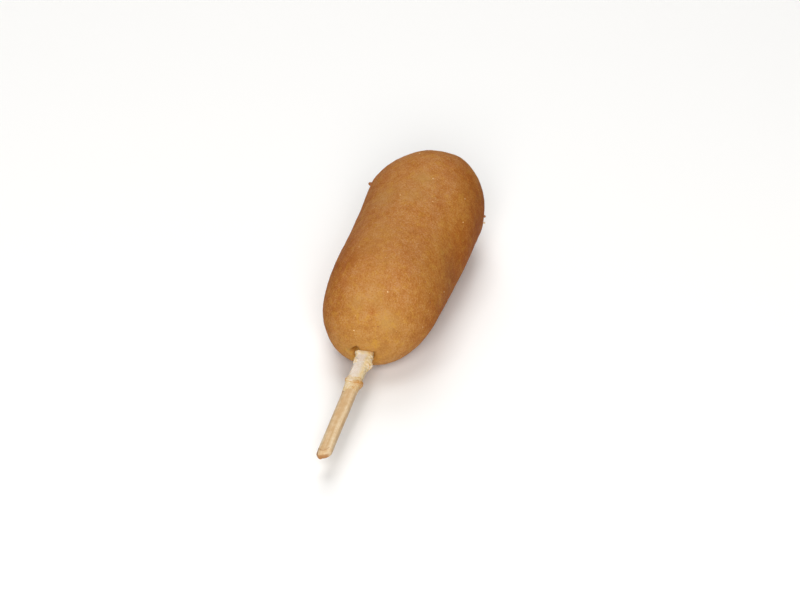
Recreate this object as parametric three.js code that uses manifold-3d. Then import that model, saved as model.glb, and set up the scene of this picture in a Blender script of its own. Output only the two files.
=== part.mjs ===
// A corn dog lying on its side, with its wooden stick.
//
// Units are millimetres and +Z is up. The fried batter lies along X: the stick comes out of the
// near end, towards -X, and the bare far end points to +X. Every piece is made about the middle of
// the batter's axis, and the whole is then set down with the centre of its footprint at the origin.

import * as THREE from 'three';
import { mergeVertices } from 'three/addons/utils/BufferGeometryUtils.js';
import Module from 'manifold-3d';

const wasm = await Module();
wasm.setup();

// ---------------------------------------------------------------------------------------------
// Driving dimensions
// ---------------------------------------------------------------------------------------------

// Fried batter: a slightly tapered roll with two blunt, superelliptic ends.
const BODY_LENGTH = 99;
const NEAR_RADIUS = 19.1;
const FAR_RADIUS = 21;
const NEAR_CAP = { length: 25.5, power: 2.22, lean: 0.4, droop: 2.9 };
const FAR_CAP = { length: 27.9, power: 2.36, lean: -3.5, droop: 0 };
const BODY_BOW = 1.7;
const BOW_BALANCE = 0.3;
const AXIS_HEIGHT = 19.3;
const ROUND_FACES = 64;
const LENGTH_FACES = 46;

// Near the two tips, where the roll has less than 1 / RELIEF_FADE of its radius, its relief fades.
const RELIEF_FADE = 1.5;

// Soft swells (+) and dents (-) where the batter set unevenly. Each is centred at x, at an angle
// round the axis counted from +Y towards +Z, and fades out along X over its reach.
const LEFT_FLANK = 0.35;
const RIGHT_FLANK = Math.PI - LEFT_FLANK;
const FLANK_SPREAD = 1.0;
const SWELLS = [
  { height: -1.1, x: 12, reach: 16, angle: LEFT_FLANK },
  { height: -0.4, x: -31.5, reach: 11, angle: LEFT_FLANK },
  { height: -1.7, x: 42, reach: 7.2, angle: LEFT_FLANK },
  { height: 1.2, x: 18, reach: 34.5, angle: RIGHT_FLANK },
  { height: -1.0, x: -4, reach: 10.4, angle: RIGHT_FLANK },
];

// Low waves left by the wet batter: turns counts waves round the axis, length is one wave along X.
const WAVES = [
  { height: 0.16, turns: 2, length: 71, phase: 0.4 },
  { height: 0.12, turns: 3, length: -43, phase: 2.2 },
  { height: 0.1, turns: 5, length: 27, phase: 4.1 },
];

// Stick: a milled hardwood stick, 3/16 inch wide and 4.5 inches long.
const STICK_WIDTH = 4.7;
const STICK_THICKNESS = 3.1;
const STICK_LENGTH = 114;
const STICK_SHOWING = 53;
const STICK_EDGE = 1.0;

// Radii of the corners of its ends, seen from above, and how much shorter its right side is cut at
// the outer end.
const STICK_CORNERS = { left: 1.9, right: 2.3 };
const STICK_END_SKEW = 1.5;

const STICK_PITCH = THREE.MathUtils.degToRad(3);
const STICK_YAW = THREE.MathUtils.degToRad(0.3);
const EDGE_STEPS = 3;
const CORNER_STEPS = 5;

// Where the stick's centre line leaves the batter, from the middle of the batter's axis.
const MOUTH = new THREE.Vector3(-49.3, -0.25, -6.5);

// Clearance that every piece keeps to the stick, and how far the socket's cutter runs outwards.
const CLEARANCE = 0.2;
const CUTTER_REACH = 6;

// Hollows at the mouth, where the batter shrank back from the stick.
const HOLLOWS = [
  { centre: [-50.1, 2.9, -4.3], radii: [2.4, 1.3, 1.4] },
  { centre: [-49.2, -2.9, -6.9], radii: [2.2, 1.0, 2.2] },
];
const HOLLOW_FACES = 12;

// Dried batter on the stick. Distances run outwards along the stick from the mouth.
const SLEEVE_FACES = 26;
const SLEEVE_POWER = 4;
const FILM_START = 1.1;
const FILM_END = 12.7;
const FILM_STEPS = 16;
const FILM_WALL = 0.3;
const FLARE = { height: 1.2, at: 5.2, reach: 2.4, angle: Math.PI + 0.4, spread: 0.8 };
const CRUMB_COUNT = 16;
const CRUMB_HEIGHT = 0.35;
const CRUMB_REACH = 0.9;
const CRUMB_SPREAD = 0.35;
const CRUMB_SEED = 7;

// Ring of batter round the stick, with a thin smear below it.
const RING_START = 13.1;
const RING_END = 19.4;
const RING_STEPS = 12;
const RING_WALL = 0.22;
const BEAD = { height: 0.34, at: 15.2, reach: 1.6 };
const BEAD_SIDES = { right: 0.2, ripple: 0.08, turns: 3, phase: 0.8 };

// Radii that mark the two walls of a sleeve's lathe until it is given its real section.
const BORE_MARK = 1;
const SKIN_MARK = 2;

// Vertices closer than this are one vertex.
const MERGE_TOLERANCE = 1e-4;

const FINISHES = {
  crust: { color: 0xb67a42, roughness: 0.6 },
  stick: { color: 0xd5b283, roughness: 0.7 },
  ring: { color: 0xcfa66c, roughness: 0.7 },
  residue: { color: 0xe3d3c0, roughness: 0.8 },
};

// ---------------------------------------------------------------------------------------------
// Small tools
// ---------------------------------------------------------------------------------------------

/** A repeatable random number source, from 0 to 1: the usual 32-bit mulberry generator. */
function seededRandom(seed) {
  let state = seed;
  return () => {
    state = (state + 0x6d2b79f5) | 0;
    let t = Math.imul(state ^ (state >>> 15), 1 | state);
    t = (t + Math.imul(t ^ (t >>> 7), 61 | t)) ^ t;
    return ((t ^ (t >>> 14)) >>> 0) / 2 ** 32;
  };
}

/** A smooth hump: 1 at no distance, fading to nothing past its reach. */
function hump(distance, reach) {
  return Math.exp(-((distance / reach) ** 2));
}

/** The smallest turn between two angles. */
function turnBetween(a, b) {
  return Math.atan2(Math.sin(a - b), Math.cos(a - b));
}

/** The same shape with only positions left and shared vertices merged. */
function bare(geometry) {
  geometry.deleteAttribute('normal');
  geometry.deleteAttribute('uv');
  return mergeVertices(geometry, MERGE_TOLERANCE);
}

/** Moves every vertex of a geometry to where place(vertex) puts it. */
function reshape(geometry, place) {
  const positions = geometry.attributes.position;
  const vertex = new THREE.Vector3();
  for (let i = 0; i < positions.count; i++) {
    vertex.fromBufferAttribute(positions, i);
    place(vertex);
    positions.setXYZ(i, vertex.x, vertex.y, vertex.z);
  }
  return geometry;
}

/** A closed geometry as a solid that can be cut. */
function toSolid(geometry) {
  return new wasm.Manifold(new wasm.Mesh({
    numProp: 3,
    vertProperties: new Float32Array(geometry.attributes.position.array),
    triVerts: new Uint32Array(geometry.index.array),
  }));
}

/** A cut solid as a geometry with normals. */
function toGeometry(solid) {
  const mesh = solid.getMesh();
  const geometry = new THREE.BufferGeometry();
  geometry.setAttribute('position', new THREE.BufferAttribute(mesh.vertProperties, 3));
  geometry.setIndex(new THREE.BufferAttribute(mesh.triVerts, 1));
  geometry.computeVertexNormals();
  return geometry;
}

/** A named mesh with its own plain material. */
function piece(name, geometry, finish) {
  const mesh = new THREE.Mesh(geometry, new THREE.MeshStandardMaterial({ ...finish, metalness: 0 }));
  mesh.name = name;
  return mesh;
}

// ---------------------------------------------------------------------------------------------
// Stick
// ---------------------------------------------------------------------------------------------

/**
 * A flat bar along X with rounded long edges and rounded ends, lying about Z = 0.
 * It runs from -outward to +inward.
 */
function roundedBar(outward, inward, width, thickness) {
  const half = width / 2;
  const quarter = Math.PI / 2;
  const { left, right } = STICK_CORNERS;
  const outline = new THREE.Shape();
  outline.absarc(inward - right, -half + right, right, -quarter, 0);
  outline.absarc(inward - left, half - left, left, 0, quarter);
  outline.absarc(-outward + left, half - left, left, quarter, 2 * quarter);
  outline.absarc(-outward + right, -half + right, right, 2 * quarter, 3 * quarter);
  outline.closePath();
  const bar = new THREE.ExtrudeGeometry(outline, {
    depth: thickness - 2 * STICK_EDGE,
    curveSegments: CORNER_STEPS,
    bevelThickness: STICK_EDGE,
    bevelSize: STICK_EDGE,
    bevelOffset: -STICK_EDGE,
    bevelSegments: EDGE_STEPS,
  });
  bar.translate(0, 0, STICK_EDGE - thickness / 2);
  return bare(bar);
}

/** The stick, with its outer end cut askew: its right side is the shorter one. */
function stickGeometry() {
  const buried = STICK_LENGTH - STICK_SHOWING;
  const half = STICK_WIDTH / 2;
  const bar = roundedBar(STICK_SHOWING, buried, STICK_WIDTH, STICK_THICKNESS);
  const end = STICK_WIDTH - STICK_SHOWING;
  return reshape(bar, (vertex) => {
    if (vertex.x < end) {
      vertex.x += THREE.MathUtils.mapLinear(vertex.y, -half, half, STICK_END_SKEW, 0);
    }
  });
}

/** The stick's own space and the clearance round it, to be cut out of the batter. */
function socketGeometry() {
  const buried = STICK_LENGTH - STICK_SHOWING + CLEARANCE;
  const play = 2 * CLEARANCE;
  return roundedBar(CUTTER_REACH, buried, STICK_WIDTH + play, STICK_THICKNESS + play);
}

// ---------------------------------------------------------------------------------------------
// Fried batter
// ---------------------------------------------------------------------------------------------

/** How far into a blunt end a place is: 0 where the end begins, 1 at its tip. */
function capDepth(inFromTip, cap) {
  return THREE.MathUtils.clamp(1 - inFromTip / cap.length, 0, 1);
}

/** How much of its full radius a blunt end has, at a distance in from the tip. */
function capShare(inFromTip, cap) {
  return (1 - capDepth(inFromTip, cap) ** cap.power) ** (1 / cap.power);
}

/** The middle of the batter at x: it bows to the side, and each end leans and droops. */
function bodyMiddle(x) {
  const half = BODY_LENGTH / 2;
  const near = capDepth(half + x, NEAR_CAP) ** 2;
  const far = capDepth(half - x, FAR_CAP) ** 2;
  const bow = BODY_BOW * ((x / half) ** 2 - BOW_BALANCE);
  const side = bow + NEAR_CAP.lean * near + FAR_CAP.lean * far;
  return new THREE.Vector3(x, side, -NEAR_CAP.droop * near - FAR_CAP.droop * far);
}

/** The batter's radius at x, in the direction given by an angle from +Y towards +Z. */
function bodyRadius(x, angle) {
  const half = BODY_LENGTH / 2;
  const taper = THREE.MathUtils.mapLinear(x, -half, half, NEAR_RADIUS, FAR_RADIUS);
  const share = capShare(x + half, NEAR_CAP) * capShare(half - x, FAR_CAP);
  const fade = Math.min(RELIEF_FADE * share, 1);
  let relief = 0;
  for (const swell of SWELLS) {
    const across = hump(turnBetween(angle, swell.angle), FLANK_SPREAD);
    relief += swell.height * hump(x - swell.x, swell.reach) * across;
  }
  for (const wave of WAVES) {
    const along = (2 * Math.PI * x) / wave.length;
    relief += wave.height * Math.sin(wave.turns * angle + along + wave.phase);
  }
  return taper * share + relief * fade;
}

/** The whole roll of batter, before anything is cut from it. */
function bodyGeometry() {
  const half = BODY_LENGTH / 2;
  const ball = new THREE.SphereGeometry(1, ROUND_FACES, LENGTH_FACES);
  ball.rotateZ(-Math.PI / 2);
  const roll = reshape(bare(ball), (vertex) => {
    const x = THREE.MathUtils.clamp(vertex.x, -1, 1) * half;
    const angle = Math.atan2(vertex.z, vertex.y);
    const radius = bodyRadius(x, angle);
    vertex.set(0, radius * Math.cos(angle), radius * Math.sin(angle)).add(bodyMiddle(x));
  });
  return mergeVertices(roll, MERGE_TOLERANCE);
}

/** An egg-shaped cutter for one hollow at the mouth. */
function hollowGeometry({ centre, radii }) {
  const egg = new THREE.SphereGeometry(1, HOLLOW_FACES, HOLLOW_FACES / 2);
  egg.scale(...radii);
  egg.translate(...centre);
  return bare(egg);
}

/** A slab whose top is the surface that the corn dog lies on. */
function restGeometry() {
  const slab = new THREE.BoxGeometry(2 * BODY_LENGTH, BODY_LENGTH, BODY_LENGTH);
  slab.translate(0, 0, -BODY_LENGTH / 2 - AXIS_HEIGHT);
  return bare(slab);
}

function crustGeometry(stickMatrix) {
  const socket = socketGeometry().applyMatrix4(stickMatrix);
  let solid = toSolid(bodyGeometry());
  for (const cutter of [socket, restGeometry(), ...HOLLOWS.map(hollowGeometry)]) {
    solid = solid.subtract(toSolid(cutter));
  }
  return toGeometry(solid);
}

// ---------------------------------------------------------------------------------------------
// Dried batter on the stick
// ---------------------------------------------------------------------------------------------

/** The stick's radius and its clearance, in the direction given by an angle from +Y to +Z. */
function stickRadius(angle) {
  const across = Math.abs(Math.cos(angle)) / (STICK_WIDTH / 2 + CLEARANCE);
  const upright = Math.abs(Math.sin(angle)) / (STICK_THICKNESS / 2 + CLEARANCE);
  return (across ** SLEEVE_POWER + upright ** SLEEVE_POWER) ** (-1 / SLEEVE_POWER);
}

/**
 * A sleeve round the stick, with its wall given at each distance along it and angle round it.
 * The lathe turns a closed loop, whose two marks tell the bore from the outside.
 */
function sleeveGeometry(start, end, steps, wallAt) {
  const loop = [];
  for (let i = 0; i <= steps; i++) {
    loop.push(new THREE.Vector2(SKIN_MARK, THREE.MathUtils.mapLinear(i, 0, steps, end, start)));
  }
  loop.push(new THREE.Vector2(BORE_MARK, start));
  loop.push(new THREE.Vector2(BORE_MARK, end));
  loop.push(loop[0].clone());
  const lathe = new THREE.LatheGeometry(loop, SLEEVE_FACES);
  return reshape(bare(lathe), (vertex) => {
    const angle = Math.atan2(vertex.x, vertex.z);
    const outward = vertex.y;
    const outside = Math.hypot(vertex.x, vertex.z) > (BORE_MARK + SKIN_MARK) / 2;
    const radius = stickRadius(angle) + (outside ? wallAt(outward, angle) : 0);
    vertex.set(-outward, radius * Math.cos(angle), radius * Math.sin(angle));
  });
}

/** Thin dried batter between the crust and the ring, crumbly and flared on its right side. */
function residueGeometry() {
  const random = seededRandom(CRUMB_SEED);
  const crumbs = [];
  for (let i = 0; i < CRUMB_COUNT; i++) {
    crumbs.push({
      at: THREE.MathUtils.lerp(FILM_START, FILM_END, random()),
      angle: 2 * Math.PI * random(),
      height: CRUMB_HEIGHT * random(),
    });
  }
  return sleeveGeometry(FILM_START, FILM_END, FILM_STEPS, (outward, angle) => {
    const flareTurn = hump(turnBetween(angle, FLARE.angle), FLARE.spread);
    let wall = FILM_WALL + FLARE.height * hump(outward - FLARE.at, FLARE.reach) * flareTurn;
    for (const crumb of crumbs) {
      const turn = hump(turnBetween(angle, crumb.angle), CRUMB_SPREAD);
      wall += crumb.height * hump(outward - crumb.at, CRUMB_REACH) * turn;
    }
    return wall;
  });
}

/** The bead of batter that dried round the stick, and the smear that ran on from it. */
function ringGeometry() {
  return sleeveGeometry(RING_START, RING_END, RING_STEPS, (outward, angle) => {
    const ripple = BEAD_SIDES.ripple * Math.sin(BEAD_SIDES.turns * angle + BEAD_SIDES.phase);
    const right = BEAD_SIDES.right * Math.max(0, -Math.cos(angle));
    const height = BEAD.height + ripple + right;
    return RING_WALL + height * hump(outward - BEAD.at, BEAD.reach);
  });
}

// ---------------------------------------------------------------------------------------------
// Assembly
// ---------------------------------------------------------------------------------------------

// The stick and what has dried on it share one tilted frame: outwards is its -X.
const onStick = new THREE.Group();
onStick.position.copy(MOUTH);
onStick.rotation.set(0, -STICK_PITCH, -STICK_YAW, 'ZYX');
onStick.updateMatrix();
onStick.add(
  piece('wooden_stick', stickGeometry(), FINISHES.stick),
  piece('batter_residue', residueGeometry(), FINISHES.residue),
  piece('batter_ring', ringGeometry(), FINISHES.ring),
);

const cornDog = new THREE.Group();
cornDog.add(piece('batter_crust', crustGeometry(onStick.matrix), FINISHES.crust), onStick);

// Set it down with the centre of its footprint at the origin.
const reach = new THREE.Box3().setFromObject(cornDog, true);
const middle = reach.getCenter(new THREE.Vector3());
cornDog.position.set(-middle.x, -middle.y, -reach.min.z);

export default cornDog;
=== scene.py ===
"""A corn dog lying on its side on a pale studio floor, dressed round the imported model.

Each piece is a class that models its mesh in place and then dresses it. +Z is up, the stick comes out of
the batter towards -X, and the batter's far end points to +X. Places on the stick are given in its own
frame, where `out` counts outwards from the mouth of the batter, and a share goes round its section from
the middle of its left side, over the top. Lengths are metres, or millimetres where a name ends in _mm.
"""

import logging
import math
import random
from collections.abc import Callable
from dataclasses import dataclass
from enum import Enum
from functools import cached_property

import bpy
import numpy as np
from mathutils import Matrix, Vector, noise
from mathutils.bvhtree import BVHTree
from mathutils.kdtree import KDTree


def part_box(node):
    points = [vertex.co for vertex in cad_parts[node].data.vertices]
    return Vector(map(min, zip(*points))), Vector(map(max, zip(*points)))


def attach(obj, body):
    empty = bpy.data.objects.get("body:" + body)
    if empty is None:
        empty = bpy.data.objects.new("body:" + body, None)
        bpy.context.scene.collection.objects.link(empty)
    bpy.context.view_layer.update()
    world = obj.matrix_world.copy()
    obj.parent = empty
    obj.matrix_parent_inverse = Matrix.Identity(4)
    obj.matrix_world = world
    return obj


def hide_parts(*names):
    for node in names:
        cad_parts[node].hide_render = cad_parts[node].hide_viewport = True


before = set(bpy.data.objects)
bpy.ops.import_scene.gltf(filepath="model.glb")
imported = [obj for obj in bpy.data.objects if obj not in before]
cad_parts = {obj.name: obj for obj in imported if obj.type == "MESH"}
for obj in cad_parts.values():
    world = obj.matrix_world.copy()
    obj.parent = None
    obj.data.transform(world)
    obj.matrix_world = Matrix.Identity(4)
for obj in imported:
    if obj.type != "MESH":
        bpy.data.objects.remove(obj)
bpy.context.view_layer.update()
NEAR_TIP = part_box("batter_crust")[0][0]

LOG = logging.getLogger("corn_dog")
MM = 0.001
TINY = 0.01 * MM
CIRCLE = 2 * math.pi

Triple = tuple[float, float, float]
Colour = tuple[float, float, float, float]
Socket = bpy.types.NodeSocket


class Slot(Enum):
    """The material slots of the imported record."""

    CRUST = "crust"
    STICK = "stick"
    RESIDUE = "residue"
    RING = "ring"


class Paint(Enum):
    """The point attributes that carry painted tones from a mesh to its material."""

    BROWNING = "browning"
    HOLLOW_SHADE = "hollow"
    ROSY = "rosy"
    MEALY = "mealy"
    YELLOW = "yellow"
    GOLD = "gold"
    END_GRAIN = "end_grain"
    PALE = "pale"


# --------------------------------------------------------------------------------------------------
# Small tools
# --------------------------------------------------------------------------------------------------


def linear(hex_colour: str) -> Colour:
    """Turns an sRGB hex colour to a linear one.

    Args:
        hex_colour: Six hex digits after a hash sign.

    Returns:
        Linear red, green, blue and full alpha.
    """
    parts = [int(hex_colour[i : i + 2], 16) / 255 for i in (1, 3, 5)]
    red, green, blue = (p / 12.92 if p <= 0.04045 else ((p + 0.055) / 1.055) ** 2.4 for p in parts)
    return red, green, blue, 1.0


def hump(distance: np.ndarray, reach: float | np.ndarray) -> np.ndarray:
    """A smooth hump: 1 at no distance, fading to nothing past its reach."""
    return np.exp(-((distance / reach) ** 2))


def hump_at(points: np.ndarray, at_mm: Triple, reach_mm: float) -> np.ndarray:
    """A smooth hump over points: 1 at a place, fading to nothing past its reach."""
    return hump(np.linalg.norm(points - np.array(at_mm) * MM, axis=1), reach_mm * MM)


def ease(value: np.ndarray, low: float, high: float) -> np.ndarray:
    """Goes smoothly from 0 where the value is low to 1 where it is high."""
    share = np.clip((value - low) / (high - low), 0, 1)
    return share * share * (3 - 2 * share)


def ease_mm(value: np.ndarray, low_mm: float, high_mm: float) -> np.ndarray:
    """Eases over a stretch that is given in millimetres."""
    return ease(value, low_mm * MM, high_mm * MM)


def turn_between(a: np.ndarray, b: float) -> np.ndarray:
    """The smallest turn from angle b to angle a."""
    return np.arctan2(np.sin(a - b), np.cos(a - b))


def weighed(strengths: dict[str, float], **zones: np.ndarray) -> np.ndarray:
    """Adds up zones of a surface, each as strongly as the table says."""
    return sum(strength * zones[name] for name, strength in strengths.items())


@dataclass(frozen=True)
class Unevenness:
    """One layer of smooth noise over a surface.

    Attributes:
        size_mm: The size of its lumps.
        strength: How far it swings each way: metres where it is relief, a share where it is a tone.
        pattern: An offset that picks its own pattern.
    """

    size_mm: float
    strength: float
    pattern: Triple

    def over(self, points: np.ndarray) -> np.ndarray:
        """The noise at points, one a row."""
        places = points / (self.size_mm * MM) + np.array(self.pattern)
        return self.strength * np.array([noise.noise(Vector(place)) for place in places])


def deselect() -> None:
    """Leaves nothing selected and nothing in edit mode."""
    if bpy.context.object and bpy.context.object.mode != "OBJECT":
        bpy.ops.object.mode_set(mode="OBJECT")
    bpy.ops.object.select_all(action="DESELECT")


def pick(piece: bpy.types.Object) -> None:
    """Selects one piece alone and makes it the active one.

    Args:
        piece: The piece.
    """
    deselect()
    piece.select_set(True)
    bpy.context.view_layer.objects.active = piece


def start_piece(name: str) -> bpy.types.Object:
    """Names the primitive that was just added.

    Args:
        name: The piece's name.

    Returns:
        The new piece, with its place put into its mesh.
    """
    piece = bpy.context.object
    piece.name = piece.data.name = name
    bpy.ops.object.transform_apply(location=True, rotation=True, scale=True)
    return piece


def copy_of_node(node: str, name: str) -> bpy.types.Object:
    """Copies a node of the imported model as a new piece, with its loose triangles joined.

    Args:
        node: The node to copy.
        name: The new piece's name.

    Returns:
        The new piece. It rides on nothing yet.
    """
    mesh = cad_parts[node].data.copy()
    mesh.name = name
    mesh.materials.clear()
    piece = bpy.data.objects.new(name, mesh)
    bpy.context.scene.collection.objects.link(piece)
    pick(piece)
    bpy.ops.object.mode_set(mode="EDIT")
    bpy.ops.mesh.select_all(action="SELECT")
    bpy.ops.mesh.remove_doubles(threshold=0.1 * TINY)
    bpy.ops.object.mode_set(mode="OBJECT")
    return piece


def finish_with(piece: bpy.types.Object, kind: str, **settings: object) -> None:
    """Adds one modifier to a piece and applies it.

    Args:
        piece: The piece to change.
        kind: The modifier's type.
        **settings: The modifier's settings by name.
    """
    pick(piece)
    modifier = piece.modifiers.new(kind.lower(), kind)
    for setting, value in settings.items():
        setattr(modifier, setting, value)
    bpy.ops.object.modifier_apply(modifier=modifier.name)


def rows(elements: bpy.types.bpy_prop_collection, what: str) -> np.ndarray:
    """Reads one triple from each element of a mesh.

    Args:
        elements: The mesh's vertices or normals.
        what: The name of the triple.

    Returns:
        The triples, one a row.
    """
    flat = np.empty(len(elements) * 3, np.float32)
    elements.foreach_get(what, flat)
    return flat.reshape(-1, 3).astype(float)


def points_of(piece: bpy.types.Object) -> np.ndarray:
    """The piece's vertices, one a row, in metres."""
    return rows(piece.data.vertices, "co")


def normals_of(piece: bpy.types.Object) -> np.ndarray:
    """The piece's outward directions at its vertices, one a row."""
    return rows(piece.data.vertex_normals, "vector")


def move_points(piece: bpy.types.Object, points: np.ndarray) -> None:
    """Puts the piece's vertices at these points."""
    piece.data.vertices.foreach_set("co", points.astype(np.float32).ravel())
    piece.data.update()


def paint(piece: bpy.types.Object, channel: Paint, values: np.ndarray) -> None:
    """Writes a tone from -1 to 2 at each vertex, for the material to read."""
    attribute = piece.data.attributes.new(channel.value, "FLOAT", "POINT")
    attribute.data.foreach_set("value", np.clip(values, -1, 2).astype(np.float32))


def hand_over(
    piece: bpy.types.Object, material: bpy.types.Material, stands_for: str | None = None
) -> None:
    """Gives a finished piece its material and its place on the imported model.

    Args:
        piece: The finished piece.
        material: The piece's material.
        stands_for: The node that it stands for, or None for an extra.
    """
    pick(piece)
    bpy.ops.object.shade_smooth()
    piece.data.materials.clear()
    piece.data.materials.append(material)
    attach(piece, "root")
    if stands_for:
        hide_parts(stands_for)
    LOG.info("%s: %d vertices", piece.name, len(piece.data.vertices))


# --------------------------------------------------------------------------------------------------
# Finishes
# --------------------------------------------------------------------------------------------------

# Where a colour mix node has its factor, the colour under, the colour over and the result.
MIX_FACTOR, MIX_UNDER, MIX_OVER, MIX_RESULT = 0, 6, 7, 2
# The middle of a tone's scale.
MIDDLE = 0.5


@dataclass(frozen=True)
class Mottle:
    """Noise whose lumps have a real size.

    Attributes:
        size_mm: The size of one lump.
        detail: How many finer octaves are added.
        evenness: How strong each finer octave is beside the coarser one.
    """

    size_mm: float
    detail: float = 2.0
    evenness: float = 0.5


@dataclass(frozen=True)
class Specks:
    """Small round specks, one at most in each cell of a random pattern.

    Attributes:
        spacing_mm: The size of a cell.
        radius_mm: The radius of a speck.
        share: The share of the cells that hold one.
        colour: A speck's colour.
        strength: How far it covers what is under it.
    """

    spacing_mm: float
    radius_mm: float
    share: float
    colour: str
    strength: float


class Look:
    """A material in the making: one principled shader, and the nodes that feed it."""

    def __init__(self, name: str, **shader_values: object) -> None:
        """Starts the material.

        Args:
            name: The material's name.
            **shader_values: Values of the shader's sockets, with underscores for spaces.
        """
        self.material = bpy.data.materials.new(name)
        self.material.use_nodes = True
        self.tree = self.material.node_tree
        for socket, value in shader_values.items():
            self.feed(socket.replace("_", " "), value)

    def put(self, socket: Socket, value: object) -> None:
        """Feeds a socket.

        Args:
            socket: The input socket.
            value: The output socket that feeds it, or its value. A hex colour is made linear.
        """
        if isinstance(value, Socket):
            self.tree.links.new(value, socket)
        else:
            socket.default_value = linear(value) if isinstance(value, str) else value

    def feed(self, shader_socket: str, value: object) -> None:
        """Feeds one of the shader's sockets."""
        self.put(self.tree.nodes["Principled BSDF"].inputs[shader_socket], value)

    def add(
        self, kind: str, inputs: dict[str | int, object], output: str | int = 0, **settings: object
    ) -> Socket:
        """Adds a node with its settings, its values and its links.

        Args:
            kind: The node's type, without the words that every shader node's type starts with.
            inputs: For each input, by name or place, what it is fed with.
            output: The output that is wanted, by name or place.
            **settings: The node's own settings by name.

        Returns:
            That output's socket.
        """
        node = self.tree.nodes.new(f"ShaderNode{kind}")
        for setting, value in settings.items():
            setattr(node, setting, value)
        for name, value in inputs.items():
            self.put(node.inputs[name], value)
        return node.outputs[output]

    @cached_property
    def where(self) -> Socket:
        """The surface's Object coordinates, in metres."""
        return self.add("TexCoord", {}, "Object")

    def layered(self, base: float | Socket, *layers: tuple[Socket, float | Socket]) -> Socket:
        """Adds layers to a tone.

        Args:
            base: The tone to start from.
            *layers: Each layer's tone, and the factor that it is taken with.

        Returns:
            The sum's socket.
        """
        for layer, factor in layers:
            base = self.add("Math", {0: layer, 1: factor, 2: base}, operation="MULTIPLY_ADD")
        return base

    def coated(self, colour: str | Socket, *coats: tuple[Socket, str, str]) -> Socket:
        """Lays coats of colour over one another.

        Args:
            colour: The colour to start from.
            *coats: For each coat, how far it covers, its colour, and how it is laid on.

        Returns:
            The last colour's socket.
        """
        for cover, coat, manner in coats:
            inputs = {MIX_FACTOR: cover, MIX_UNDER: colour, MIX_OVER: coat}
            colour = self.add("Mix", inputs, MIX_RESULT, data_type="RGBA", blend_type=manner)
        return colour

    def mottled(self, kind: Mottle, where: Socket | None = None) -> Socket:
        """Draws noise.

        Args:
            kind: What it is like.
            where: The coordinates, where they aren't the plain ones.

        Returns:
            The noise's socket, from -0.5 to 0.5.
        """
        scale = 1 / (kind.size_mm * MM)
        inputs = {"Vector": where or self.where, "Scale": scale, "Detail": kind.detail}
        noisy = self.add("TexNoise", inputs | {"Roughness": kind.evenness}, "Fac")
        return self.add("Math", {0: noisy, 1: MIDDLE}, operation="SUBTRACT")

    def specked(self, kind: Specks, where: Socket | None = None) -> Socket:
        """Draws specks.

        Args:
            kind: What they are like.
            where: The coordinates, where they aren't the plain ones.

        Returns:
            A socket that is 1 inside a speck and 0 between them.
        """
        inputs = {"Vector": where or self.where, "Scale": 1 / (kind.spacing_mm * MM)}
        away = self.add("TexVoronoi", inputs, "Distance")
        rim = kind.radius_mm / kind.spacing_mm
        inside = self.add("MapRange", {"Value": away, "From Min": rim, "From Max": rim / 2}, "Result")
        draw = self.add("SeparateColor", {"Color": away.node.outputs["Color"]}, "Red")
        chosen = self.add("Math", {0: draw, 1: kind.share}, operation="LESS_THAN")
        return self.layered(0.0, (inside, chosen))


def fill_scale(scale: bpy.types.ColorRamp, stops: dict[float, str | Colour]) -> None:
    """Puts colours on a colour scale.

    Args:
        scale: The scale, as a new node has it.
        stops: Hex or linear colours by their place on it, in rising order.
    """
    while len(scale.elements) < len(stops):
        scale.elements.new(1.0)
    for element, (place, colour) in zip(scale.elements, stops.items()):
        element.position = place
        element.color = linear(colour) if isinstance(colour, str) else colour


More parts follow.
